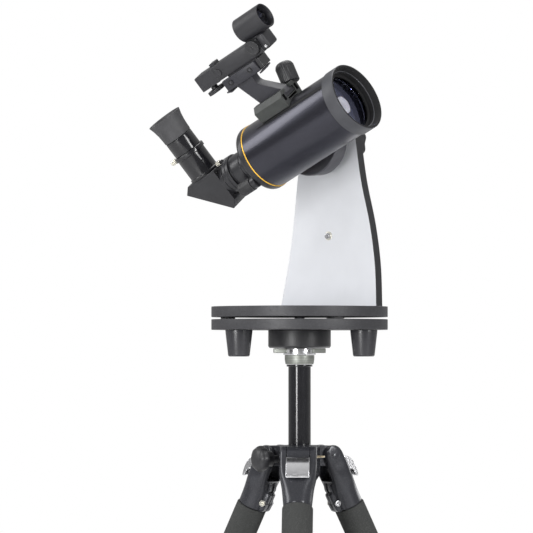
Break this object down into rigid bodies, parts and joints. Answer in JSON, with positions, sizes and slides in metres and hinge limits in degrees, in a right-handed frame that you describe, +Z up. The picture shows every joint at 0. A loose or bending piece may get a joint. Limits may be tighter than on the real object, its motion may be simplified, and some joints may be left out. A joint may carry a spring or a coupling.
{
  "type": "telescope on tripod",
  "caption": "Short reflecting telescope with finder and angled eyepiece on a one-arm turntable, screwed to a folding three-legged tripod.",
  "frame": {"origin": "on the floor under the middle of the box around the whole object", "axes": "+Z up; the front leg points nearly along -Y; the telescope looks forward, to the right and upward"},
  "size_m": [0.5278, 0.4695, 1.0281],
  "materials": {
    "tube_paint": "satin",
    "ring_paint": "matte",
    "casting_paint": "gloss",
    "black_metal": "satin",
    "gloss_black": "gloss",
    "black_plastic": "satin",
    "bracket_plastic": "satin",
    "finder_plastic": "matte",
    "hub_metal": "satin",
    "collar_metal": "brushed",
    "chrome": "polished",
    "brass": "polished",
    "disc_board": "matte black laminate",
    "side_laminate": "silver laminate with black edge",
    "pad_plastic": "smooth",
    "rubber": "matte",
    "foam": "matte foam",
    "lens_glass": "coated",
    "prism_glass": "polished",
    "mirror_glass": "polished"
  },
  "bodies": {
    "tripod": {"tripod_crown": "casting_paint", "front_leg_hinge_pin": "brass", "right_leg_hinge_pin": "brass", "left_leg_hinge_pin": "brass"},
    "column": {"column_tube": "gloss_black", "head_collar": "collar_metal", "head_plate": "chrome", "tripod_hub": "black_plastic", "base_disc_lower": "disc_board", "base_foot_1": "rubber", "base_foot_2": "rubber", "base_foot_3": "rubber", "glide_pad_1": "pad_plastic", "glide_pad_2": "pad_plastic", "glide_pad_3": "pad_plastic"},
    "turntable": {"base_disc_upper": "disc_board", "azimuth_bolt": "collar_metal", "side_board": "side_laminate"},
    "telescope": {"altitude_hub": "hub_metal", "main_tube": "tube_paint", "front_ring": "ring_paint", "corrector_lens": "lens_glass", "rear_cell": "black_metal", "visual_back": "black_metal", "finder_shoe": "black_metal", "finder_bracket": "bracket_plastic", "finder_body": "finder_plastic", "window_tube": "finder_plastic"},
    "mirror": {"primary_mirror": "mirror_glass"},
    "focus_wheel": {"focus_knob": "black_plastic"},
    "diagonal": {"prism_housing": "black_metal", "diagonal_prism": "prism_glass", "eyepiece_holder": "gloss_black"},
    "eyepiece": {"eyepiece_body": "gloss_black", "eyecup": "rubber"},
    "altitude_clamp": {"altitude_knob": "black_plastic"},
    "shoe_clamp": {"shoe_knob": "black_plastic"},
    "column_clamp": {"column_lock_knob": "black_plastic"},
    "finder_switch": {"finder_dial": "black_plastic"},
    "front_leg": {"front_leg_casting": "casting_paint", "front_leg_grip": "foam", "front_leg_upper_tube": "gloss_black"},
    "front_latch": {"front_leg_latch": "chrome"},
    "front_lock": {"front_leg_twist_lock": "black_plastic"},
    "front_section": {"front_leg_lower_tube": "gloss_black", "front_leg_foot": "rubber"},
    "right_leg": {"right_leg_casting": "casting_paint", "right_leg_grip": "foam", "right_leg_upper_tube": "gloss_black"},
    "right_latch": {"right_leg_latch": "chrome"},
    "right_lock": {"right_leg_twist_lock": "black_plastic"},
    "right_section": {"right_leg_lower_tube": "gloss_black", "right_leg_foot": "rubber"},
    "left_leg": {"left_leg_casting": "casting_paint", "left_leg_grip": "foam", "left_leg_upper_tube": "gloss_black"},
    "left_latch": {"left_leg_latch": "chrome"},
    "left_lock": {"left_leg_twist_lock": "black_plastic"},
    "left_section": {"left_leg_lower_tube": "gloss_black", "left_leg_foot": "rubber"}
  },
  "joints": [
    {"name": "column_slide", "type": "slide", "parent": "tripod", "child": "column", "axis": [0, 0, 1], "range_m": [-0.088, 0.13]},
    {"name": "azimuth_turn", "type": "hinge", "parent": "column", "child": "turntable", "pos_m": [-0.00502, 0.06751, 0.68329], "axis": [0, 0, 1], "continuous": true},
    {"name": "altitude_tilt", "type": "hinge", "parent": "turntable", "child": "telescope", "pos_m": [-0.02048, 0.04787, 0.87769], "axis": [-0.6184, -0.7859, 0], "range_deg": [-25.3, 64.7]},
    {"name": "focus_turn", "type": "hinge", "parent": "telescope", "child": "focus_wheel", "pos_m": [-0.05449, 0.04727, 0.82839], "axis": [-0.7105, 0.5591, -0.4274], "range_deg": [-1080, 1080]},
    {"name": "mirror_travel", "type": "slide", "parent": "telescope", "child": "mirror", "axis": [0.7105, -0.5591, 0.4274], "range_m": [-0.0036, 0.0036]},
    {"name": "diagonal_turn", "type": "hinge", "parent": "telescope", "child": "diagonal", "pos_m": [0.06054, -0.01589, 0.92189], "axis": [0.7105, -0.5591, 0.4274], "range_deg": [-49, 61]},
    {"name": "eyepiece_draw", "type": "slide", "parent": "diagonal", "child": "eyepiece", "axis": [-0.5935, -0.1498, 0.7907], "range_m": [0, 0.026]},
    {"name": "altitude_clamp_turn", "type": "hinge", "parent": "telescope", "child": "altitude_clamp", "pos_m": [0.03641, 0.12017, 0.87769], "axis": [0.6184, 0.7859, 0], "range_deg": [0, 270]},
    {"name": "shoe_clamp_turn", "type": "hinge", "parent": "telescope", "child": "shoe_clamp", "pos_m": [-0.01644, 0.04009, 0.94528], "axis": [-0.3782, 0.2088, 0.9019], "range_deg": [0, 270]},
    {"name": "column_clamp_turn", "type": "hinge", "parent": "tripod", "child": "column_clamp", "pos_m": [-0.00502, 0.06751, 0.50729], "axis": [-0.866, -0.5, 0], "range_deg": [0, 270]},
    {"name": "finder_switch_turn", "type": "hinge", "parent": "telescope", "child": "finder_switch", "pos_m": [-0.05834, -0.00436, 0.97901], "axis": [-0.3781, -0.8155, -0.4383], "range_deg": [0, 300]},
    {"name": "front_leg_spread", "type": "hinge", "parent": "tripod", "child": "front_leg", "pos_m": [-0.00628, 0.03154, 0.51029], "axis": [0.9994, -0.0349, 0], "range_deg": [0, 26.7]},
    {"name": "front_latch_pull", "type": "hinge", "parent": "front_leg", "child": "front_latch", "pos_m": [-0.00677, 0.01743, 0.4978], "axis": [-0.9994, 0.0349, 0], "range_deg": [0, 12], "stiffness_Nm_per_rad": 0.3, "springref_deg": -11.46},
    {"name": "front_lock_turn", "type": "hinge", "parent": "front_leg", "child": "front_lock", "pos_m": [-0.00628, 0.03154, 0.51029], "axis": [0.0157, 0.449, 0.8934], "range_deg": [0, 90]},
    {"name": "front_section_slide", "type": "slide", "parent": "front_leg", "child": "front_section", "axis": [-0.0157, -0.449, -0.8934], "range_m": [0, 0.38]},
    {"name": "right_leg_spread", "type": "hinge", "parent": "tripod", "child": "right_leg", "pos_m": [0.02677, 0.08442, 0.51029], "axis": [-0.4695, 0.8829, 0], "range_deg": [0, 26.7]},
    {"name": "right_latch_pull", "type": "hinge", "parent": "right_leg", "child": "right_latch", "pos_m": [0.03923, 0.09104, 0.4978], "axis": [0.4695, -0.8829, 0], "range_deg": [0, 12], "stiffness_Nm_per_rad": 0.3, "springref_deg": -11.46},
    {"name": "right_lock_turn", "type": "hinge", "parent": "right_leg", "child": "right_lock", "pos_m": [0.02677, 0.08442, 0.51029], "axis": [-0.3967, -0.2109, 0.8934], "range_deg": [0, 90]},
    {"name": "right_section_slide", "type": "slide", "parent": "right_leg", "child": "right_section", "axis": [0.3967, 0.2109, -0.8934], "range_m": [0, 0.38]},
    {"name": "left_leg_spread", "type": "hinge", "parent": "tripod", "child": "left_leg", "pos_m": [-0.03555, 0.08659, 0.51029], "axis": [-0.5299, -0.848, 0], "range_deg": [0, 26.7]},
    {"name": "left_latch_pull", "type": "hinge", "parent": "left_leg", "child": "left_latch", "pos_m": [-0.04752, 0.09407, 0.4978], "axis": [0.5299, 0.848, 0], "range_deg": [0, 12], "stiffness_Nm_per_rad": 0.3, "springref_deg": -11.46},
    {"name": "left_lock_turn", "type": "hinge", "parent": "left_leg", "child": "left_lock", "pos_m": [-0.03555, 0.08659, 0.51029], "axis": [0.381, -0.2381, 0.8934], "range_deg": [0, 90]},
    {"name": "left_section_slide", "type": "slide", "parent": "left_leg", "child": "left_section", "axis": [-0.381, 0.2381, -0.8934], "range_m": [0, 0.38]}
  ],
  "couplings": [
    {"joint": "focus_turn", "follows": "mirror_travel", "rad_per_m": -5230}
  ]
}
